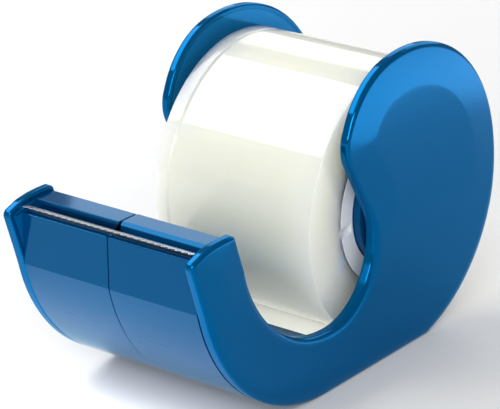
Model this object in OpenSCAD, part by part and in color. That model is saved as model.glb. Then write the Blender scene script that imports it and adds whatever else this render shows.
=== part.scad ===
// Hand dispenser for wide clear packing tape.
// Two blue side arms carry the roll on free-turning hubs. A hollow cutting
// head joins the arms at the front, and parts at its middle: the right half
// is a sleeve that pulls off the left half's tongue to let a roll in or out.
// X runs along the roll's axis, the head is towards -Y and +Z is up.
// The origin is on the table, below the middle of the whole dispenser.

/* [Roll] */
// Width of the tape
tape_w = 50; // [48:0.5:50]
// Outer diameter of the full roll
roll_d = 72.8; // [56:0.4:73.6]
// Outer diameter of the plastic core
core_d = 45.4; // [44:0.2:50]
// Bore of the plastic core
core_bore_d = 34.8; // [34:0.2:36]

/* [Arms] */
// Height of the roll's axis above the table
axis_z = 41; // [40.5:0.25:41.5]
// Radius of the round back of each arm
lobe_r = 42; // [42:0.25:43]
// Thickness of one closed arm
arm_t = 3.6; // [3.4:0.1:5]
// Wall of the moulded shells
wall = 1.4; // [1:0.1:1.6]
// Thickness of the flat inner cover of an arm
cover_t = 1.2; // [1:0.1:1.4]

/* [Cutting head] */
// Height of the shelf's top above the roll's axis
shelf_z = 13.6; // [13:0.1:14]
// Length of the tongue that plugs into the right half
tongue_len = 14; // [8:1:20]
// Number of teeth on the blade
teeth = 26; // [20:1:32]
// Thickness of the steel blade
blade_t = 0.45; // [0.4:0.05:0.5]

/* [Fits] */
// Gap between the roll and each arm
side_gap = 2.4; // [1:0.1:2.6]
// Gap between the tongue and its sleeve
lap_gap = 0.3; // [0.2:0.05:0.4]
// Radial running gap of the hubs, on their pins and in the core
run_gap = 0.08; // [0.05:0.01:0.1]

/* [Hidden] */

blue = [0.0, 0.40, 0.66];
pale_blue = [0.0, 0.50, 0.78];
deep_blue = [0.05, 0.22, 0.42];

// Places along X
arm_in = tape_w / 2 + side_gap;
arm_out = arm_in + arm_t;
cover_out = arm_in + cover_t;
cavity_out = arm_out - wall;
head_out = arm_in - 0.1;

// Circles of the arm's side view, about the roll's axis. Centres are [y, z]
front_r = 50.2;
front_c = [-36, front_r - axis_z];
grip_front_c = [-34, 12];
grip_front_r = 36;
grip_back_c = [-34, -5.5];
grip_back_r = 18.5;
nose_low_c = [-16.5, 22];
nose_low_r = 10.3;
nose_top_r = 23.5;
nose_top_a = 101.8;
nose_top_c = (lobe_r - nose_top_r) * [cos(nose_top_a), sin(nose_top_a)];
nose_join_a = 162.9;
waist_a = 29.6;

// Edge of an arm: the width of the shell's rim around the flush cover, the gap
// between them, and the rounding of the rim's inner and outer edges
rim_w = 1.6;
parting_gap = 0.1;
inner_round = 0.3;
rim_insets = [0.8, 2];
rim_drops = [1.4, 0.6];
ledge_w = 0.8;

// Front tip and top of the wing at the head's end, about the roll's axis
tip_r = 1.9;
tip_c = [-87.5, 11.2];
wing_top_z = 14.9;
wing_back_r = 1.8;
wing_back_c = [-74.2, wing_top_z - wing_back_r];

// The dispenser's middle is half way between the tip and the round back
axis_y = (tip_r - tip_c[0] - lobe_r) / 2;

// Cutting head, about the roll's axis
plate_y = -84.8;
plate_top_z = 11.2;
plate_t = 2.35;
shelf_front_y = -80;
shelf_back_y = -73.4;
shelf_t = 1.2;
slot_z = 9;
skin_t = 2;
back_t = 1.8;
head_back_r = grip_front_r + 1;
head_end_a = 262;
crease_a = 180 + acos((front_c[0] - plate_y) / front_r);
seam_gap = 0.2;
tooth_h = 1.2;
blade_tip = [-86.1, 13.4];
blade_rise = 19;
blade_w = 4.1;
blade_leg_h = 3.1;
blade_end_gap = 0.2;
blade_out = head_out - blade_end_gap;
tooth_pitch = 2 * blade_out / teeth;

// Hubs and their pins
pin_r = 4;
pin_flange_r = 7;
pin_len = 15;
pin_head_r = 4.8;
pin_head_t = 1.2;
slit_w = 1.2;
slit_depth = 6;
hub_len = pin_len - pin_head_t - 1;
hub_out = arm_in - 0.3;
hub_wall = 1.7;
hub_boss_r = 7;
hub_r = core_bore_d / 2 - run_gap;
spokes = 6;
spoke_t = 1.4;

// Weld posts that join a shell to its cover, about the roll's axis
post_r = 2.4;
posts = [[-79, 6], [-66, -20], [-20, -32], [24, -24], [28, 20], [-8, 32]];

// Core notches
notches = 3;
notch_a = 188;
notch_w = 3;
notch_depth = 2.2;

// Points of an arc of a circle, from angle a0 to a1
function arc(c, r, a0, a1, n) =
    [for (i = [0:n]) let (a = a0 + (a1 - a0) * i / n) c + r * [cos(a), sin(a)]];

// Side view of an arm, set inwards by d: front, wing, finger grip and round
// lobe. The flat underside joins its two ends.
function arm_outline(d) = concat(
    arc(front_c, front_r - d, 270, 195, 22),
    arc(tip_c, max(tip_r - d, 0.1), 195, 97, 4),
    [[-80, wing_top_z - 0.1 - d]],
    arc(wing_back_c, max(wing_back_r - d, 0.1), 90, 12, 4),
    arc(grip_front_c, grip_front_r + d, 192, 267, 20),
    arc(grip_back_c, grip_back_r + d, 270, 360 + waist_a, 20),
    arc(nose_low_c, nose_low_r - d, 180 + waist_a, nose_join_a, 6),
    arc(nose_top_c, nose_top_r - d, nose_join_a - 4, nose_top_a, 8),
    arc([0, 0], lobe_r - d, nose_top_a - 5, -asin((axis_z - d) / (lobe_r - d)), 30)
);

// Back face of the head, from its lower end up to the shelf's back edge
head_back = concat(
    arc(grip_front_c, head_back_r, head_end_a, 192, 18),
    [[shelf_back_y, shelf_z]]
);

// Front face of the head, from the plate's top down to its lower end
head_front = concat(
    [[plate_y, plate_top_z]],
    arc(front_c, front_r, crease_a, head_end_a, 20)
);

// Top of the left half: a thin lip, and a close slot for the blade's leg
left_top = [
    [shelf_front_y, shelf_z], [shelf_front_y, shelf_z - shelf_t],
    [shelf_front_y + 2.5, shelf_z - shelf_t], [shelf_front_y + 2.5, slot_z + 1.4],
    [shelf_front_y - 1.9, slot_z + 1.4], [shelf_front_y - 1.9, slot_z],
    [plate_y + plate_t, slot_z], [plate_y + plate_t, plate_top_z]
];

// Top of the right half: a deep front wall, and a wider slot
right_top = [
    [shelf_front_y, shelf_z], [shelf_front_y, slot_z + 1],
    [shelf_front_y - 1.65, slot_z + 1], [shelf_front_y - 1.65, slot_z - 0.25],
    [plate_y + plate_t - 0.25, slot_z - 0.25], [plate_y + plate_t - 0.25, plate_top_z]
];

// Moves shapes drawn about the roll's axis to the dispenser's own frame
module on_axis() {
    translate([0, axis_y, axis_z]) children();
}

// A side-view outline made solid between two places along X
module slab(outline, x0, x1) {
    translate([x0, 0, 0]) rotate([90, 0, 90]) linear_extrude(x1 - x0) polygon(outline);
}

// A round bar along X about the roll's axis
module bar(r, x0, x1, facets = 96) {
    translate([x0, 0, 0]) rotate([0, 90, 0]) cylinder(h = x1 - x0, r = r, $fn = facets);
}

// A curved chamber between the head's front and back faces
module chamber(gap, x0, x1) {
    outer_r = front_r - skin_t - gap;
    inner_r = head_back_r + back_t + gap;
    turn = 4 + gap;
    slab(
        concat(
            arc(front_c, outer_r, 196 + turn, 254 - turn, 16),
            arc(grip_front_c, inner_r, 254 - turn, 196 + turn, 16)
        ),
        x0, x1
    );
}

// Outer shell of an arm: a shallow dish with weld posts, and a ledge inside its
// rim that the cover sits on
module arm_shell() {
    on_axis() {
        difference() {
            union() {
                slab(arm_outline(inner_round), arm_in, arm_in + inner_round);
                slab(arm_outline(0), arm_in + inner_round, arm_out - rim_drops[0]);
                slab(arm_outline(rim_insets[0]), arm_out - rim_drops[0], arm_out - rim_drops[1]);
                slab(arm_outline(rim_insets[1]), arm_out - rim_drops[1], arm_out);
            }
            slab(arm_outline(rim_w), arm_in - 1, cover_out);
            slab(arm_outline(rim_w + ledge_w), cover_out - 1, cavity_out);
        }
        for (p = posts) {
            translate([0, p[0], p[1]]) bar(post_r, cover_out, cavity_out + 0.5, 32);
        }
    }
}

// Flat inner cover of an arm, flush with the shell's rim, with the hole for
// the hub pin
module arm_cover() {
    on_axis() difference() {
        slab(arm_outline(rim_w + parting_gap), arm_in, cover_out);
        bar(pin_r + 0.03, arm_in - 1, cover_out + 1);
    }
}

// Snap pin: a flange behind the cover, a shaft and a split head
module hub_pin() {
    pin_end = arm_in - pin_len;
    on_axis() difference() {
        union() {
            bar(pin_flange_r, cover_out, cavity_out);
            bar(pin_r, pin_end, cover_out);
            bar(pin_head_r, pin_end, pin_end + pin_head_t);
        }
        translate([pin_end - 1, -slit_w / 2, -pin_head_r - 1])
            cube([slit_depth + 1, slit_w, 2 * pin_head_r + 2]);
    }
}

// Spoked hub wheel that carries one end of the core
module hub() {
    hub_in = hub_out - hub_len;
    on_axis() difference() {
        union() {
            difference() {
                bar(hub_r, hub_in, hub_out);
                bar(hub_r - hub_wall, hub_in - 1, hub_out - hub_wall);
            }
            bar(hub_boss_r, hub_in, hub_out);
            for (i = [0:spokes - 1]) {
                rotate([360 / spokes * i, 0, 0])
                    translate([hub_in + 1.5, -spoke_t / 2, hub_boss_r - 0.5])
                        cube([hub_len - 2, spoke_t, hub_r - hub_boss_r - 0.7]);
            }
        }
        bar(pin_r + run_gap, hub_in - 1, hub_out + 1);
    }
}

// One half of the head, with its own top edge. Its chamber starts at x0.
module head_half(top, x0) {
    difference() {
        slab(concat(head_back, top, head_front), seam_gap / 2, head_out);
        chamber(0, x0, head_out - wall);
    }
}

module left_arm_shell() {
    color(blue) mirror([1, 0, 0]) arm_shell();
}

module right_arm_shell() {
    color(blue) arm_shell();
}

module left_arm_cover() {
    color(pale_blue) mirror([1, 0, 0]) arm_cover();
}

module right_arm_cover() {
    color(pale_blue) arm_cover();
}

module left_hub_pin() {
    color(deep_blue) mirror([1, 0, 0]) hub_pin();
}

module right_hub_pin() {
    color(deep_blue) hub_pin();
}

module left_hub() {
    color(deep_blue) mirror([1, 0, 0]) hub();
}

module right_hub() {
    color(deep_blue) hub();
}

// Left half of the head, with the hollow tongue that enters the right half
module left_head() {
    color(blue) on_axis() {
        mirror([1, 0, 0]) head_half(left_top, seam_gap / 2 + 3);
        difference() {
            chamber(lap_gap, -seam_gap / 2, tongue_len);
            chamber(lap_gap + wall, -seam_gap / 2 - 4, tongue_len + 1);
        }
    }
}

// Right half of the head: the sleeve
module right_head() {
    color(pale_blue) on_axis() head_half(right_top, -1);
}

// Bent steel blade: a leg in the slot, and a rising toothed strip
module blade() {
    root_y = blade_w - tooth_h;
    edge = [for (i = [0:2 * teeth]) [-blade_out + tooth_pitch * i / 2, i % 2 == 0 ? root_y : blade_w]];
    color("silver") on_axis() {
        translate([0, blade_tip[0], blade_tip[1]])
            rotate([180 - blade_rise, 0, 0])
                translate([0, -blade_w, 0])
                    linear_extrude(blade_t)
                        polygon(concat([[-blade_out, 0]], edge, [[blade_out, 0]]));
        translate([-blade_out, plate_y + plate_t + 0.05, slot_z])
            cube([2 * blade_out, blade_t, blade_leg_h]);
    }
}

// Notched plastic core
module core() {
    mouth = notch_w / 2 * (notch_depth + 1) / notch_depth;
    color("gainsboro") on_axis() difference() {
        bar(core_d / 2, -tape_w / 2, tape_w / 2, 128);
        bar(core_bore_d / 2, -tape_w / 2 - 1, tape_w / 2 + 1, 128);
        for (i = [0:notches - 1], side = [-1, 1]) {
            rotate([notch_a - 180 + 360 / notches * i, 0, 0])
                translate([side * tape_w / 2, -core_d / 2 - 1, 0])
                    rotate([-90, 0, 0])
                        linear_extrude(core_d / 2 - core_bore_d / 2)
                            polygon([[side, -mouth], [side, mouth], [-side * notch_depth, 0]]);
        }
    }
}

// Wound tape
module tape() {
    color("ivory") on_axis() difference() {
        bar(roll_d / 2, -tape_w / 2, tape_w / 2, 128);
        bar(core_d / 2, -tape_w / 2 - 1, tape_w / 2 + 1, 128);
    }
}

left_arm_shell();
left_arm_cover();
left_hub_pin();
left_hub();
left_head();
right_arm_shell();
right_arm_cover();
right_hub_pin();
right_hub();
right_head();
blade();
core();
tape();
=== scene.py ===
"""A hand dispenser for wide packing tape: the looks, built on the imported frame.

Shapes are worked out in millimetres about the roll's axis, with x along the
axis, y backwards and z upwards, and are put in the row frame by at().
"""
import math

import bmesh
import bpy
import numpy as np
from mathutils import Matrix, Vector
from mathutils.geometry import delaunay_2d_cdt


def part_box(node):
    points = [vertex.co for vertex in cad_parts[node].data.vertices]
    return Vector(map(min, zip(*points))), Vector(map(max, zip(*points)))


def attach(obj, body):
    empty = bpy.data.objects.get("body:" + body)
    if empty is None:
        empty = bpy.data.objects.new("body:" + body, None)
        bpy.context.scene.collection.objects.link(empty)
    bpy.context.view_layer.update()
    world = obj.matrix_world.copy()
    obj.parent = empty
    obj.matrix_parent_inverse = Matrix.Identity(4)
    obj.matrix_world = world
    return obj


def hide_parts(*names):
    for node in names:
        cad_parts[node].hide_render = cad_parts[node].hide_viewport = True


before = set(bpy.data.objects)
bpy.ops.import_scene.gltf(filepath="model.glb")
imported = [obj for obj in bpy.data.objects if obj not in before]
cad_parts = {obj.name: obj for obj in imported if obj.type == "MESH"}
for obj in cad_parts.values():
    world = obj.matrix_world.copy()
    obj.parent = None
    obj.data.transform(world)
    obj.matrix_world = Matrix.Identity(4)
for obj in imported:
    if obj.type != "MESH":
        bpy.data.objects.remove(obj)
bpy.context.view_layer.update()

# ---------------------------------------------------------------- sizes

MM = 0.001
TAPE_LOW, TAPE_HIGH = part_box("tape")
AXIS = (TAPE_LOW + TAPE_HIGH) / 2


def radius_of(node):
    """Radius of a node that is round about the roll's axis."""
    low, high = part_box(node)
    return (high.z - low.z) / 2 / MM


def span_of(node):
    """Where a node starts and ends along x."""
    low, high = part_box(node)
    return low.x / MM, high.x / MM


ROLL_R = radius_of("tape")
HALF_WIDTH = span_of("tape")[1]
CORE_R = radius_of("core")
CORE_BORE_R = 17.4
HUB_R = radius_of("right_hub")
HUB_IN, HUB_OUT = span_of("right_hub")
PIN_END = span_of("right_hub_pin")[0]
ARM_IN, ARM_OUT = span_of("right_arm_shell")
COVER_OUT = span_of("right_arm_cover")[1]
HEAD_OUT = span_of("right_head")[1]
BLADE_OUT = span_of("blade")[1]
TABLE = -AXIS.z / MM

# Circles of the arm's side view: centre and radius
FRONT = ((-36, 50.2 + TABLE), 50.2)
TIP = ((-87.5, 11.2), 1.9)
WING_BACK = ((-74.2, 13.1), 1.8)
GRIP_FRONT = ((-34, 12), 36)
GRIP_BACK = ((-34, -5.5), 18.5)
NOSE_LOW = ((-16.5, 22), 10.3)
NOSE_TOP = ((-3.78, 18.11), 23.5)
LOBE = ((0, 0), 42)
# Angle at which the grip's back circle runs into the nose's lower one
WAIST_TURN = 29.6
# Points along the wing's top, between its tip and its back
WING_TOP = np.array([(-84.4, 14.25), (-80.6, 14.8), (-77.0, 14.95)])
RIM_W = 1.6

# Cutting head: heights and places of its shelf, trough and front plate
PLATE_Y = -84.8
PLATE_TOP = 11.2
PLATE_T = 2.35
SHELF_FRONT = -80
SHELF_BACK = -73.4
SHELF_Z = 13.6
SLOT_Z = 9
# Angles at which its section ends below, on FRONT, and above, on GRIP_FRONT
HEAD_END = 262
HEAD_TOP = 192

# Tongue, and the socket that it slides in: their angles, the walls outside them, their
# corners, how far the tongue and its hollow stand in from the socket, and their ends in x
CHAMBER_FROM = 200
CHAMBER_TO = 250
FRONT_WALL = 2
BACK_WALL = 2.8
END_WALL = 1.4
CHAMBER_CORNER = 0.6
TONGUE_INSET = 0.3
HOLLOW_INSET = 1.9
TONGUE_START = -0.3
TONGUE_END = 14
HOLLOW_START = 1

# Blade: its tip, its rise in degrees, and the sizes of its flat, teeth and ground edge
TEETH = 26
BLADE_TIP = (-86.1, 13.4)
BLADE_RISE = 20
BLADE_T = 0.4
BLADE_LEN = 4.1
TOOTH_DEPTH = 1.6
GRIND_LEN = 1.9

# V notches in the core's ends: how many, the first one's angle, depth and half width
NOTCHES = 3
NOTCH_FROM = 188
NOTCH_DEPTH = 2.2
NOTCH_HALF = 1.5

# Shift of the last turns of the tape, from its left end
GROOVE_FROM_END = 4.6

# Mesh making: the usual angle in degrees above which an edge stays sharp, the longest
# straight stretch of an arm's outline, the points on a fillet, and the support in a lid
SHARP = 35
LONGEST_GAP = 2.5
FILLET_POINTS = 4
LID_INSET = 0.1


def at(x, y, z):
    """A point given in millimetres about the roll's axis, in the row frame."""
    return Vector((x * MM, AXIS.y + y * MM, AXIS.z + z * MM))


# ---------------------------------------------------------------- outlines


def arc(circle, start, end, count, grow=0.0):
    """Points along a circle from one angle to another, in degrees."""
    (cy, cz), radius = circle
    turn = np.radians(np.linspace(start, end, count))
    radius = radius + grow
    return np.stack([cy + radius * np.cos(turn), cz + radius * np.sin(turn)], axis=1)


def joined(*runs):
    """One outline from runs of points, with long straight gaps between them filled."""
    points = []
    flat = [p for run in runs for p in run]
    for here, ahead in zip(flat, flat[1:] + flat[:1]):
        points.append(here)
        steps = int(np.linalg.norm(np.subtract(ahead, here)) // LONGEST_GAP)
        for i in range(1, steps + 1):
            points.append(np.add(here, np.subtract(ahead, here) * i / (steps + 1)))
    return np.array(points, float)


def arm_outline(inset=0.0):
    """Side view of an arm, clockwise from the front end of its flat underside."""
    low = math.degrees(math.asin((-TABLE - inset) / (LOBE[1] - inset)))
    return joined(
        arc(FRONT, 270, 195, 54, -inset),
        arc(TIP, 192, 102, 12, -inset),
        WING_TOP - (0, inset),
        arc(WING_BACK, 90, 14, 9, -inset),
        arc(GRIP_FRONT, 192, 268, 38, inset),
        arc(GRIP_BACK, 270, 360 + WAIST_TURN, 40, inset),
        arc(NOSE_LOW, 180 + WAIST_TURN, 163, 14, -inset),
        arc(NOSE_TOP, 160, 102, 24, -inset),
        arc(LOBE, 99, -low, 84, -inset),
    )


def inward(points):
    """Unit normals that point into a clockwise outline."""
    step = np.roll(points, -1, axis=0) - np.roll(points, 1, axis=0)
    step /= np.linalg.norm(step, axis=1)[:, None]
    return np.stack([step[:, 1], -step[:, 0]], axis=1)


def edge_distance(points, outline):
    """Distance of each point from the nearest side of an outline."""
    start = outline[None]
    side = np.roll(outline, -1, axis=0)[None] - start
    gap = points[:, None] - start
    share = np.clip((gap * side).sum(-1) / (side**2).sum(-1), 0, 1)
    return np.linalg.norm(gap - share[..., None] * side, axis=-1).min(1)


def fillet(corners):
    """An outline from (y, z, radius) corners, each corner rounded by its radius."""
    points = []
    total = len(corners)
    for i, (y, z, radius) in enumerate(corners):
        corner = np.array([y, z], float)
        if radius == 0:
            points.append(corner)
            continue
        before = np.array(corners[i - 1][:2]) - corner
        after = np.array(corners[(i + 1) % total][:2]) - corner
        before /= np.linalg.norm(before)
        after /= np.linalg.norm(after)
        half = math.acos(np.clip(before @ after, -1, 1)) / 2
        reach = radius / math.tan(half)
        bisector = (before + after) / np.linalg.norm(before + after)
        middle = corner + bisector * radius / math.sin(half)
        first = corner + before * reach - middle
        last = corner + after * reach - middle
        spread = math.acos(np.clip(first @ last / radius**2, -1, 1))
        for k in range(FILLET_POINTS):
            share = k / (FILLET_POINTS - 1)
            mix = math.sin((1 - share) * spread) * first + math.sin(share * spread) * last
            points.append(middle + mix / math.sin(spread))
    return np.array(points)


# ---------------------------------------------------------------- mesh making


def finish_mesh(bm, name, sharp=SHARP):
    """An object from a bmesh, welded, facing outwards and smooth but for its sharp edges."""
    bmesh.ops.remove_doubles(bm, verts=bm.verts, dist=1e-6)
    bmesh.ops.recalc_face_normals(bm, faces=bm.faces)
    mesh = bpy.data.meshes.new(name)
    bm.to_mesh(mesh)
    bm.free()
    mesh.shade_smooth()
    mesh.set_sharp_from_angle(angle=math.radians(sharp))
    obj = bpy.data.objects.new(name, mesh)
    bpy.context.scene.collection.objects.link(obj)
    return obj


def bridge(bm, rings):
    """Quads between neighbouring closed rings of the same length."""
    for low, high in zip(rings, rings[1:]):
        for i in range(len(low)):
            j = (i + 1) % len(low)
            bm.faces.new((low[i], low[j], high[j], high[i]))


def bridge_closed(bm, rings):
    """A closed surface through rings, with a face over the first and the last."""
    bridge(bm, rings)
    bm.faces.new(rings[0])
    bm.faces.new(rings[-1])


def ring(bm, points, x):
    """A ring of vertices from (y, z) points at one x, or at an x of its own for each."""
    xs = np.broadcast_to(x, len(points))
    return [bm.verts.new(at(px, y, z)) for px, (y, z) in zip(xs, points)]


def fill(bm, rim, inner, place):
    """A triangulated cap over a rim of (y, z) points and the points inside it."""
    edges = [(i, (i + 1) % len(rim)) for i in range(len(rim))]
    flat = [Vector(p) for p in np.concatenate([rim, inner])]
    inside_only = 1
    verts, _, faces, *_ = delaunay_2d_cdt(flat, edges, [], inside_only, 1e-7)
    made = [bm.verts.new(place(v.x, v.y)) for v in verts]
    for face in faces:
        bm.faces.new([made[i] for i in face])


def loft(bm, stations, sections):
    """A closed solid through an outline at each station along x, with flat, supported ends."""
    rings = []
    first, last = sections[0], sections[-1]
    rings.append(ring(bm, first + inward(first) * LID_INSET, stations[0]))
    rings += [ring(bm, section, x) for x, section in zip(stations, sections)]
    rings.append(ring(bm, last + inward(last) * LID_INSET, stations[-1]))
    bridge_closed(bm, rings)


def round_the_axis(count):
    """Angles round the roll's axis, and the points of a circle of radius 1 at them."""
    turn = np.linspace(0, 2 * math.pi, count, endpoint=False)
    return turn, np.stack([np.cos(turn), np.sin(turn)], axis=1)


def lathe(bm, profile, count, solid=False):
    """A ring, or a solid, turned about the roll's axis from (x, radius) points."""
    _, circle = round_the_axis(count)
    rings = [ring(bm, circle * size, x) for x, size in profile]
    if solid:
        bridge_closed(bm, rings)
    else:
        bridge(bm, rings + rings[:1])


def cut(obj, tool):
    """Takes one closed mesh out of another."""
    modifier = obj.modifiers.new("cut", "BOOLEAN")
    modifier.operation = "DIFFERENCE"
    modifier.solver = "EXACT"
    modifier.object = tool
    bpy.context.view_layer.update()
    evaluated = obj.evaluated_get(bpy.context.evaluated_depsgraph_get())
    mesh = bpy.data.meshes.new_from_object(evaluated)
    obj.modifiers.clear()
    obj.data = mesh
    mesh.shade_smooth()
    mesh.set_sharp_from_angle(angle=math.radians(SHARP))
    bpy.data.objects.remove(tool)


def mirrored(obj, name):
    """A copy of an object on the other side of the middle plane."""
    bm = bmesh.new()
    bm.from_mesh(obj.data)
    for v in bm.verts:
        v.co.x = -v.co.x
    return finish_mesh(bm, name)


def smoothstep(value, low, high):
    """A smooth rise from 0 to 1 between two values."""
    share = np.clip((value - low) / (high - low), 0, 1)
    return share * share * (3 - 2 * share)


# ---------------------------------------------------------------- materials

GLOSS_TINT = (0.12, 0.75, 1.0, 1)
FLOW_SCALE = 22
HAZE_SCALE = 90
PEEL_SCALE = 420
PEEL_HEIGHT = 0.000004
TURNS_SCALE = 2600
TURNS_HEIGHT = 0.00003
MOTTLE_SCALE = 60
CORE_GRAIN_SCALE = 900
CORE_GRAIN_HEIGHT = 0.000008
GRIND_STRETCH = (60, 4200, 4200)
GRIND_HEIGHT = 0.00001
TABLE_SCALE = 40


def material(name, colour, roughness, **sockets):
    """A Principled material, and its node tree, shader and object coordinates.

    colour and roughness are its plain values, which most materials then vary with noise.
    """
    made = bpy.data.materials.new(name)
    made.use_nodes = True
    tree = made.node_tree
    shader = tree.nodes["Principled BSDF"]
    shader.inputs["Base Color"].default_value = (*colour, 1)
    shader.inputs["Roughness"].default_value = roughness
    for socket, value in sockets.items():
        shader.inputs[socket.replace("_", " ")].default_value = value
    coordinates = tree.nodes.new("ShaderNodeTexCoord")
    return made, tree, shader, coordinates.outputs["Object"]


def noise(tree, where, scale, detail):
    """Noise of a scale given per metre, from 0 to 1."""
    node = tree.nodes.new("ShaderNodeTexNoise")
    node.inputs["Scale"].default_value = scale
    node.inputs["Detail"].default_value = detail
    tree.links.new(where, node.inputs["Vector"])
    return node.outputs["Fac"]


def spread(tree, value, low, high):
    """A 0 to 1 value moved to a range."""
    node = tree.nodes.new("ShaderNodeMapRange")
    node.inputs["To Min"].default_value = low
    node.inputs["To Max"].default_value = high
    tree.links.new(value, node.inputs["Value"])
    return node.outputs["Result"]


def two_tone(tree, value, low, high):
    """A colour between two, by a 0 to 1 value."""
    node = tree.nodes.new("ShaderNodeMix")
    node.data_type = "RGBA"
    node.inputs[6].default_value = (*low, 1)
    node.inputs[7].default_value = (*high, 1)
    tree.links.new(value, node.inputs["Factor"])
    return node.outputs[2]


def bump(tree, shader, value, distance, strength=1.0):
    """Bump of a height given in metres, from a 0 to 1 value."""
    node = tree.nodes.new("ShaderNodeBump")
    node.inputs["Strength"].default_value = strength
    node.inputs["Distance"].default_value = distance
    tree.links.new(value, node.inputs["Height"])
    tree.links.new(node.outputs["Normal"], shader.inputs["Normal"])


def vector_step(tree, operation, value, by=(0, 0, 0)):
    """One step of arithmetic on a vector."""
    node = tree.nodes.new("ShaderNodeVectorMath")
    node.operation = operation
    node.inputs[1].default_value = by
    tree.links.new(value, node.inputs[0])
    return node.outputs


def moulded_plastic(name, colour, gloss, depth, index):
    """Glossy moulded plastic with faint flow marks, haze and orange peel.

    gloss is its roughness, depth the share of its gloss that takes the plastic's own
    colour, and index its index of refraction.
    """
    made, tree, shader, where = material(
        name, colour, gloss, IOR=index, Metallic=depth, Specular_Tint=GLOSS_TINT
    )
    flow = noise(tree, where, FLOW_SCALE, detail=2)
    low = [c * 0.96 for c in colour]
    high = [c * 1.04 for c in colour]
    tree.links.new(two_tone(tree, flow, low, high), shader.inputs["Base Color"])
    haze = noise(tree, where, HAZE_SCALE, detail=4)
    tree.links.new(spread(tree, haze, gloss * 0.7, gloss * 1.3), shader.inputs["Roughness"])
    bump(tree, shader, noise(tree, where, PEEL_SCALE, detail=2), PEEL_HEIGHT)
    return made


BLUE = (0.0, 0.102, 0.285)
# The head is the arms' plastic, made darker: painted shade, which darkens the head's front plate
PAINTED_SHADE_HEAD_BLUE = (0.0, 0.062, 0.195)
# The covers are the arms' plastic, made lighter: painted light on the arms' inner faces
PAINTED_LIGHT_COVER_BLUE = (0.0, 0.15, 0.40)
# Darker than the arms' blue: painted shade for the hub, which sits in shadow inside the core; the
# pins share it
PAINTED_SHADE_HUB_BLUE = (0.0, 0.05, 0.16)
MAT_ARM = moulded_plastic("blue_arm_plastic", BLUE, gloss=0.07, depth=0.62, index=1.27)
MAT_COVER = moulded_plastic("blue_cover_plastic_painted_light", PAINTED_LIGHT_COVER_BLUE, gloss=0.08, depth=0.4, index=1.27)
MAT_HEAD = moulded_plastic("blue_head_plastic_painted_shade", PAINTED_SHADE_HEAD_BLUE, gloss=0.06, depth=0.35, index=1.55)
MAT_HUB = moulded_plastic("hub_plastic_painted_shade", PAINTED_SHADE_HUB_BLUE, gloss=0.22, depth=0.2, index=1.5)


def clear_film():
    """Wound clear film: milky inside, glossy outside, with the turns showing on its ends."""
    made, tree, shader, where = material(
        "wound_clear_film", (0.87, 0.89, 0.75), 0.3,
        IOR=1.35, Subsurface_Weight=1.0, Subsurface_Scale=0.03,
        Coat_Weight=1.0, Coat_Roughness=0.03, Coat_IOR=1.5,
    )
    shader.inputs["Subsurface Radius"].default_value = (1.0, 0.95, 0.75)
    centred = vector_step(tree, "SUBTRACT", where, (0, AXIS.y, AXIS.z))
    flat = vector_step(tree, "MULTIPLY", centred["Vector"], (0, 1, 1))
    from_axis = vector_step(tree, "LENGTH", flat["Vector"])
    turns = tree.nodes.new("ShaderNodeTexNoise")
    turns.noise_dimensions = "1D"
    turns.inputs["Scale"].default_value = TURNS_SCALE
    turns.inputs["Detail"].default_value = 3
    tree.links.new(from_axis["Value"], turns.inputs["W"])
    milky = two_tone(tree, turns.outputs["Fac"], (0.88, 0.90, 0.68), (0.93, 0.94, 0.74))
    tree.links.new(milky, shader.inputs["Base Color"])
    bump(tree, shader, turns.outputs["Fac"], TURNS_HEIGHT, strength=0.5)
    return made


def core_plastic():
    """Pale, slightly mottled plastic with a fine grain."""
    made, tree, shader, where = material(
        "core_plastic", (0.70, 0.73, 0.77), 0.32, IOR=1.5,
        Subsurface_Weight=0.1, Subsurface_Scale=0.002,
    )
    mottle = noise(tree, where, MOTTLE_SCALE, detail=3)
    tree.links.new(
        two_tone(tree, mottle, (0.66, 0.69, 0.74), (0.76, 0.79, 0.82)),
        shader.inputs["Base Color"],
    )
    bump(tree, shader, noise(tree, where, CORE_GRAIN_SCALE, detail=2), CORE_GRAIN_HEIGHT)
    return made


def ground_steel():
    """Bright strip steel with fine grinding marks that run along the blade."""
    made, tree, shader, where = material(
        "ground_blade_steel", (0.6, 0.59, 0.57), 0.24, Metallic=1.0
    )
    stretch = tree.nodes.new("ShaderNodeMapping")
    stretch.inputs["Scale"].default_value = GRIND_STRETCH
    tree.links.new(where, stretch.inputs["Vector"])
    grain = noise(tree, stretch.outputs["Vector"], 1.0, detail=2)
    tree.links.new(spread(tree, grain, 0.16, 0.36), shader.inputs["Roughness"])
    tree.links.new(
        two_tone(tree, grain, (0.62, 0.61, 0.59), (0.95, 0.94, 0.92)),
        shader.inputs["Base Color"],
    )
    bump(tree, shader, grain, GRIND_HEIGHT, strength=0.6)
    return made


def dress(obj, look, body, slot, *nodes):
    """Gives a piece its material, its body and the nodes it stands for. Its slot argument is not
    used.
    """
    flat = obj.modifiers.new("flat_faces_stay_flat", "WEIGHTED_NORMAL")
    flat.keep_sharp = True
    obj.data.materials.clear()
    obj.data.materials.append(look)
    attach(obj, body)
    if nodes:
        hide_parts(*nodes)


# ---------------------------------------------------------------- arms

OUTLINE = arm_outline()
NORMALS = inward(OUTLINE)
# Insets of the face's rings at its edge, and of the loose points further in
RIM_STEPS = (0, 0.02, 0.08, 0.18, 0.32, 0.5, 0.75, 1.05, 1.4, 1.75)
FACE_STEPS = (2.2, 2.7, 3.3, 4.0, 4.8, 5.8, 7.0, 8.4, 9.7, 10.6, 11.0, 11.3, 12.6, 15, 18, 22, 27)
# Those lines of points keep every point up to SPARSE_FROM, and every other one beyond
SPARSE_FROM = 8
CROSSING_SLACK = 0.03
POINT_GAP_SQUARED = 0.16
NEAR_POINTS = 900
# Heights between which the grip's face turns into the lobe's
LOBE_FROM = -14
LOBE_FULL = 10
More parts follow.
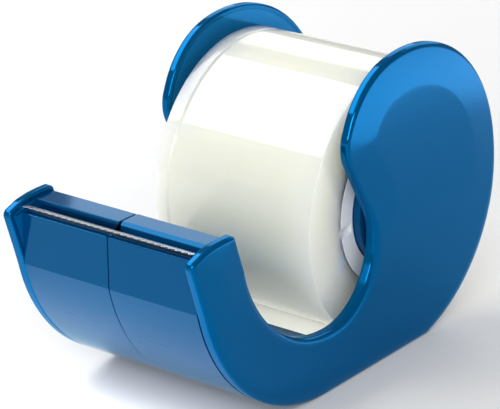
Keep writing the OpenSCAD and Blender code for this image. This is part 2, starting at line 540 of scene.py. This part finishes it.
# Rounding of the face's edge on the grip, and how much less it is on the lobe
EDGE_W, EDGE_W_LESS = 3.8, 2.8
EDGE_DEPTH, EDGE_DEPTH_LESS = 1.4, 0.5
# Sloping band round the lobe's flat middle
BAND = 11.0
BAND_SLOPE = 0.075
BAND_CURVE = 0.0014


def face_x(z, inset):
    """How far out an arm's face stands, at a height and an inset from its outline."""
    lobe = smoothstep(np.asarray(z, float), LOBE_FROM, LOBE_FULL)
    width = EDGE_W - EDGE_W_LESS * lobe
    depth = EDGE_DEPTH - EDGE_DEPTH_LESS * lobe
    share = np.clip(1 - inset / width, 0, 1)
    edge = depth * (1 - np.sqrt(1 - share**2))
    run = np.clip(BAND - inset, 0, None)
    band = BAND_SLOPE * run + BAND_CURVE * run**2
    return ARM_OUT - edge - lobe * band


def face_points():
    """Points on lines inset from the outline, where those lines don't cross or crowd."""
    kept = []
    for step in FACE_STEPS:
        every = 1 if step < SPARSE_FROM else 2
        line = (OUTLINE + NORMALS * step)[::every]
        for y, z in line[edge_distance(line, OUTLINE) > step - CROSSING_SLACK]:
            near = kept[-NEAR_POINTS:]
            if all((y - a) ** 2 + (z - b) ** 2 > POINT_GAP_SQUARED for a, b in near):
                kept.append((y, z))
    return np.array(kept)


def arm_shell():
    """Outer shell: a recess for the cover, a rounded rim and a gently domed face."""
    bm = bmesh.new()
    # From the recess's floor out over the rim, as insets and places along x
    inside = (
        (RIM_W + 1.0, COVER_OUT), (RIM_W + 0.8, COVER_OUT), (RIM_W, COVER_OUT),
        (RIM_W, ARM_IN + 0.02), (RIM_W - 0.02, ARM_IN), (0.75, ARM_IN), (0.6, ARM_IN),
        (0.36, ARM_IN + 0.05), (0.17, ARM_IN + 0.18), (0.04, ARM_IN + 0.37),
        (0, ARM_IN + 0.6), (0, ARM_IN + 0.8),
    )
    rings = [ring(bm, OUTLINE + NORMALS * inset, x) for inset, x in inside]
    for inset in RIM_STEPS:
        line = OUTLINE + NORMALS * inset
        rings.append(ring(bm, line, face_x(line[:, 1], inset)))
    bridge(bm, rings)
    bm.faces.new(rings[0])
    rim = OUTLINE + NORMALS * RIM_STEPS[-1]

    def on_face(y, z):
        """The place on the domed face at a point of the side view."""
        inset = edge_distance(np.array([[y, z]]), OUTLINE)[0]
        return at(float(face_x(z, inset)), y, z)

    fill(bm, rim, face_points(), on_face)
    bmesh.ops.remove_doubles(bm, verts=bm.verts, dist=3e-6)
    return finish_mesh(bm, "right_arm_shell_piece", sharp=50)


def arm_cover():
    """Flat inner cover, flush with the shell's rim."""
    outline = arm_outline(RIM_W + 0.02)
    normals = inward(outline)
    bm = bmesh.new()
    rings = [
        ring(bm, outline + normals * inset, x)
        for inset, x in (
            (0.5, ARM_IN), (0.3, ARM_IN), (0.02, ARM_IN), (0, ARM_IN + 0.02),
            (0, COVER_OUT - 0.05), (0.3, COVER_OUT - 0.02), (0.5, COVER_OUT - 0.02),
        )
    ]
    bridge_closed(bm, rings)
    return finish_mesh(bm, "right_arm_cover_piece", sharp=50)


# ---------------------------------------------------------------- cutting head


def head_section(right, draft):
    """Cross-section of a head half. draft moves its front and top outwards.

    Its corners are (y, z, radius), with steps taken from the named places.
    """
    plate = PLATE_Y - draft
    reach = FRONT[1] + draft
    crease = 180 + math.degrees(math.acos((FRONT[0][0] - plate) / reach))
    top = SHELF_Z + 0.4 * draft
    lip = SHELF_FRONT - 0.6 * draft
    front = [(y, z, 0) for y, z in arc(FRONT, crease, HEAD_END, 46, draft)[1:-1]]
    end = arc(FRONT, HEAD_END, HEAD_END, 1, draft)[0]
    back = [(y, z, 0) for y, z in arc(GRIP_FRONT, HEAD_END, HEAD_TOP, 30, 1.0)]
    if right:
        shelf = [
            (SHELF_BACK, top, 0.5), (lip + 0.8, top, 0.12), (lip, top - 0.85, 0.12),
            (lip, SLOT_Z + 1, 0.2), (lip - 1.65, SLOT_Z + 1, 0.1),
            (lip - 1.65, SLOT_Z - 0.25, 0), (PLATE_Y + PLATE_T - 0.25, SLOT_Z - 0.25, 0),
            (PLATE_Y + PLATE_T - 0.25, PLATE_TOP, 0.25),
        ]
    else:
        shelf = [
            (SHELF_BACK, top, 0.5), (lip, top, 0.18), (lip, top - 1.2, 0.12),
            (lip + 2.5, top - 1.2, 0.1), (lip + 2.5, SLOT_Z + 1.4, 0.1),
            (lip - 1.9, SLOT_Z + 1.4, 0.1), (lip - 1.9, SLOT_Z, 0),
            (PLATE_Y + PLATE_T, SLOT_Z, 0), (PLATE_Y + PLATE_T, PLATE_TOP, 0.25),
        ]
    crease_point = arc(FRONT, crease, crease, 1, draft)[0]
    corners = (
        [(plate, PLATE_TOP, 0.35), (crease_point[0], crease_point[1], 0.12)]
        + front + [(end[0], end[1], 0.5)] + back + shelf
    )
    return fillet(corners[::-1])


def head_half(right, name):
    """A head half lofted from the seam to the arm, with its front drawn out or in at the seam."""
    side = 1 if right else -1
    lap = 0.12 if right else -0.08
    stations = (0.22, 0.28, 0.42, 5, 10, 15, 20, 25.5, HEAD_OUT)
    bevels = (0.16, 0.05, 0, 0, 0, 0, 0, 0, 0)
    sections = []
    for x, bevel in zip(stations, bevels):
        section = head_section(right, lap * (1 - x / HEAD_OUT))
        sections.append(section + inward(section) * bevel)
    bm = bmesh.new()
    loft(bm, [side * x for x in stations], sections)
    return finish_mesh(bm, name, sharp=28)


def chamber(name, inset, start, end):
    """A curved bar between the head's front and back faces, for the tongue and its socket.

    inset takes in its faces by so many millimetres, and its ends by so many degrees.
    """
    low = CHAMBER_FROM + inset
    high = CHAMBER_TO - inset
    count = 28
    outer = arc(FRONT, low, high, count, -FRONT_WALL - inset)
    inner = arc(GRIP_FRONT, high, low, count, BACK_WALL + inset)
    corners = []
    for i, (y, z) in enumerate([*outer, *inner]):
        at_an_end = i % count in (0, count - 1)
        corners.append((y, z, CHAMBER_CORNER if at_an_end else 0))
    outline = fillet(corners)[::-1]
    bm = bmesh.new()
    loft(bm, (start, end), (outline, outline))
    return finish_mesh(bm, name, sharp=28)


def blade_strip():
    """Bent strip: a leg in the slot, a bend, a rising flat and ground teeth."""
    rise = math.radians(BLADE_RISE)
    along = np.array([-math.cos(rise), math.sin(rise)])
    over = np.array([math.sin(rise), math.cos(rise)])
    root = np.array(BLADE_TIP) - along * BLADE_LEN
    leg_y = PLATE_Y + PLATE_T + 0.05
    pitch = 2 * BLADE_OUT / TEETH

    def flat(run, height):
        """A place on the rising flat: so far from its root, and so far above its underside."""
        return root + along * run + over * height

    bm = bmesh.new()
    rings = []
    for i in range(2 * TEETH + 1):
        edge = BLADE_LEN if i % 2 else BLADE_LEN - TOOTH_DEPTH
        edge_t = BLADE_T * (0.18 + 0.75 * (BLADE_LEN - edge) / GRIND_LEN)
        section = [
            (leg_y + BLADE_T, SLOT_Z), (leg_y + BLADE_T, root[1] - 0.55),
            flat(0.15, 0.02), flat(0.5, BLADE_T * 0.6), flat(0.9, BLADE_T),
            flat(BLADE_LEN - GRIND_LEN, BLADE_T), flat(edge, edge_t), flat(edge, 0),
            flat(BLADE_LEN - GRIND_LEN, 0), flat(0.75, 0),
            (leg_y, root[1] - 0.35), (leg_y, SLOT_Z),
        ]
        rings.append(ring(bm, section, -BLADE_OUT + pitch * i / 2))
    bridge_closed(bm, rings)
    return finish_mesh(bm, "blade_piece", sharp=25)


# ---------------------------------------------------------------- hubs, core and tape


def hub():
    """Spoked hub wheel with a lead-in at its inner end."""
    bm = bmesh.new()
    lathe(bm, [
        (HUB_IN, HUB_R - 1.5), (HUB_IN, HUB_R - 0.9), (HUB_IN + 0.25, HUB_R - 0.5),
        (HUB_IN + 1.2, HUB_R - 0.05), (HUB_OUT - 0.4, HUB_R), (HUB_OUT - 0.1, HUB_R - 0.12),
        (HUB_OUT, HUB_R - 0.45), (HUB_OUT, 4.6), (HUB_OUT - 0.4, 4.15), (HUB_IN + 0.4, 4.15),
        (HUB_IN, 4.6), (HUB_IN, 6.6), (HUB_IN + 0.4, 7.0), (HUB_OUT - 2.2, 7.0),
        (HUB_OUT - 1.7, 7.5), (HUB_OUT - 1.7, HUB_R - 2.4), (HUB_OUT - 2.3, HUB_R - 1.75),
        (HUB_IN + 0.3, HUB_R - 1.6),
    ], count=144)
    section = np.array([(-0.7, 6.7), (0.7, 6.7), (0.7, HUB_R - 1.2), (-0.7, HUB_R - 1.2)])
    spokes = 6
    for i in range(spokes):
        turn = i * 2 * math.pi / spokes
        spin = np.array([[math.cos(turn), -math.sin(turn)], [math.sin(turn), math.cos(turn)]])
        spoke = section @ spin.T
        bridge_closed(bm, [ring(bm, spoke, x) for x in (HUB_IN + 1.5, HUB_OUT - 1.5)])
    return finish_mesh(bm, "right_hub_piece", sharp=40)


def hub_pin():
    """Snap pin with a flange and a split, rounded head."""
    bm = bmesh.new()
    lathe(bm, [
        (PIN_END, 3.4), (PIN_END + 0.15, 4.0), (PIN_END + 0.8, 4.7), (PIN_END + 1.15, 4.75),
        (PIN_END + 1.25, 4.1), (PIN_END + 1.5, 4.0), (COVER_OUT - 0.4, 4.0),
        (COVER_OUT, 4.3), (COVER_OUT, 6.8), (COVER_OUT + 0.3, 7.0), (COVER_OUT + 0.9, 7.0),
    ], count=96, solid=True)
    pin = finish_mesh(bm, "right_hub_pin_piece", sharp=40)
    slit = bmesh.new()
    section = np.array([(-6, -0.6), (-6, 0.6), (6, 0.6), (6, -0.6)])
    loft(slit, (PIN_END - 1, PIN_END + 6), (section, section))
    cut(pin, finish_mesh(slit, "slit"))
    return pin


def core():
    """Plastic core with V notches in both ends, outside a thin inner lip."""
    turn, circle = round_the_axis(count=240)
    half_notch = NOTCH_HALF / CORE_R
    depth = np.zeros(len(turn))
    for i in range(NOTCHES):
        middle = math.radians(NOTCH_FROM + 360 / NOTCHES * i)
        away = np.abs((turn - middle + math.pi) % (2 * math.pi) - math.pi)
        depth = np.maximum(depth, NOTCH_DEPTH * np.clip(1 - away / half_notch, 0, 1))
    lip = CORE_BORE_R + 1.0
    bm = bmesh.new()
    rings = []
    for side in (1, -1):
        face = side * HALF_WIDTH
        run = [
            (CORE_BORE_R, face - side * 0.3, 0), (CORE_BORE_R + 0.3, face, 0), (lip, face, 0),
            (lip + 0.01, face, 1), (CORE_R - 0.25, face, 1), (CORE_R, face - side * 0.25, 1),
        ]
        run = run if side == 1 else run[::-1]
        for size, x, notched in run:
            rings.append(ring(bm, circle * size, x - side * depth * notched))
    bridge(bm, rings + rings[:1])
    return finish_mesh(bm, "core_piece", sharp=30)


def tape():
    """Wound film. A fine groove near the left end is where the last turns have shifted."""
    groove = -HALF_WIDTH + GROOVE_FROM_END
    profile = [
        (-HALF_WIDTH, CORE_R), (-HALF_WIDTH, ROLL_R - 0.35), (-HALF_WIDTH + 0.1, ROLL_R - 0.1),
        (-HALF_WIDTH + 0.35, ROLL_R), (groove - 1.6, ROLL_R - 0.02), (groove - 0.7, ROLL_R - 0.1),
        (groove - 0.25, ROLL_R - 0.45), (groove - 0.1, ROLL_R - 0.6), (groove + 0.1, ROLL_R - 0.6),
        (groove + 0.2, ROLL_R - 0.15), (groove + 0.5, ROLL_R), (HALF_WIDTH - 0.35, ROLL_R),
        (HALF_WIDTH - 0.1, ROLL_R - 0.1),
        (HALF_WIDTH, ROLL_R - 0.35), (HALF_WIDTH, CORE_R),
    ]
    bm = bmesh.new()
    lathe(bm, profile, count=256)
    return finish_mesh(bm, "tape_piece", sharp=30)


# ---------------------------------------------------------------- put together


def build():
    """Makes every piece, and mirrors the right-hand ones that have a left-hand twin."""
    shell = arm_shell()
    dress(mirrored(shell, "left_arm_shell_piece"), MAT_ARM, "left_half", "arm_plastic",
          "left_arm_shell")
    dress(shell, MAT_ARM, "right_half", "arm_plastic", "right_arm_shell")

    cover = arm_cover()
    dress(mirrored(cover, "left_arm_cover_piece"), MAT_COVER, "left_half", "cover_plastic",
          "left_arm_cover")
    dress(cover, MAT_COVER, "right_half", "cover_plastic", "right_arm_cover")

    wheel = hub()
    dress(mirrored(wheel, "left_hub_piece"), MAT_HUB, "left_hub", "hub_plastic", "left_hub")
    dress(wheel, MAT_HUB, "right_hub", "hub_plastic", "right_hub")

    pin = hub_pin()
    dress(mirrored(pin, "left_hub_pin_piece"), MAT_HUB, "left_half", "pin_plastic", "left_hub_pin")
    dress(pin, MAT_HUB, "right_half", "pin_plastic", "right_hub_pin")

    right = head_half(True, "right_head_piece")
    cut(right, chamber("socket", 0, -1, HEAD_OUT - END_WALL))
    dress(right, MAT_HEAD, "right_half", "head_plastic", "right_head")

    left = head_half(False, "left_head_piece")
    dress(left, MAT_HEAD, "left_half", "head_plastic", "left_head")
    tongue = chamber("left_tongue_piece", TONGUE_INSET, TONGUE_START, TONGUE_END)
    cut(tongue, chamber("hollow", HOLLOW_INSET, HOLLOW_START, TONGUE_END + 1))
    dress(tongue, MAT_HEAD, "left_half", "head_plastic")

    dress(blade_strip(), ground_steel(), "left_half", "blade_steel", "blade")
    dress(core(), core_plastic(), "roll", "core_plastic", "core")
    dress(tape(), clear_film(), "roll", "tape_film", "tape")


# ---------------------------------------------------------------- stage, lights and camera

ROOM_LIGHT = 0.38
# Camera, fitted to the end circles of the roll: millimetres, metres and degrees
LENS = 200
EYE_PLACE = (0.4061, -0.5320, 0.3074)
EYE_TURN = (68.287, 0.682, 37.311)


def stage():
    """A plain pale table that runs on far beyond the view."""
    bm = bmesh.new()
    bmesh.ops.create_grid(bm, x_segments=8, y_segments=8, size=6)
    table = finish_mesh(bm, "table")
    made, tree, shader, where = material("pale_table", (0.86, 0.86, 0.86), 0.6)
    grain = noise(tree, where, TABLE_SCALE, detail=2)
    tree.links.new(
        two_tone(tree, grain, (0.85, 0.85, 0.85), (0.87, 0.87, 0.87)),
        shader.inputs["Base Color"],
    )
    table.data.materials.append(made)


def softbox(name, where, size, power, towards=None):
    """A rectangular area light that faces a point, or straight down if it is given none."""
    data = bpy.data.lights.new(name, "AREA")
    data.shape = "RECTANGLE"
    data.size, data.size_y = size
    data.energy = power
    lamp = bpy.data.objects.new(name, data)
    lamp.location = where
    if towards:
        aim = towards - Vector(where)
        lamp.rotation_euler = aim.to_track_quat("-Z", "Y").to_euler()
    bpy.context.scene.collection.objects.link(lamp)


def lights():
    """Soft boxes above on the left, behind and in front, pools on the table and a pale room.

    The pools come from low panels that face down, and so light only the table. They are where
    the photo's table is plain white. Places and sizes are in metres, and powers in watts.
    """
    left, right = -0.70, -0.26
    front, back = AXIS.y - 0.66, AXIS.y + 0.25
    middle = ((left + right) / 2, (front + back) / 2, AXIS.z + 0.6)
    softbox("overhead_softbox", middle, size=(right - left, back - front), power=4.8)
    softbox("back_pool_near", (0.23, 0.175, 0.025), size=(0.15, 0.12), power=0.15)
    softbox("back_pool_far", (0.20, 0.30, 0.025), size=(0.21, 0.13), power=0.24)
    roll = at(0, 0, 0)
    softbox("back_softbox", (-0.12, 0.88, 0.5), size=(1.3, 0.5), power=3.2, towards=roll)
    grip = at(0, -30, 0)
    softbox("front_fill", (0.45, -0.85, 0.5), size=(0.5, 0.5), power=6.5, towards=grip)
    softbox("front_pool", at(-14, -100, 11 + TABLE), size=(0.10, 0.06), power=0.022)
    softbox("gap_pool", at(0, -21, 2 + TABLE), size=(0.05, 0.04), power=0.0028)
    world = bpy.data.worlds.new("studio")
    world.use_nodes = True
    background = world.node_tree.nodes["Background"]
    background.inputs["Color"].default_value = (1, 1, 1, 1)
    background.inputs["Strength"].default_value = ROOM_LIGHT
    bpy.context.scene.world = world


def camera():
    """The long lens of a catalogue shot, from the front, the right and above."""
    data = bpy.data.cameras.new("camera")
    data.lens = LENS
    data.sensor_width = 36
    data.clip_end = 20
    eye = bpy.data.objects.new("camera", data)
    eye.location = EYE_PLACE
    eye.rotation_euler = [math.radians(a) for a in EYE_TURN]
    bpy.context.scene.collection.objects.link(eye)
    bpy.context.scene.camera = eye


build()
stage()
lights()
camera()
bpy.context.scene.view_settings.view_transform = "Standard"
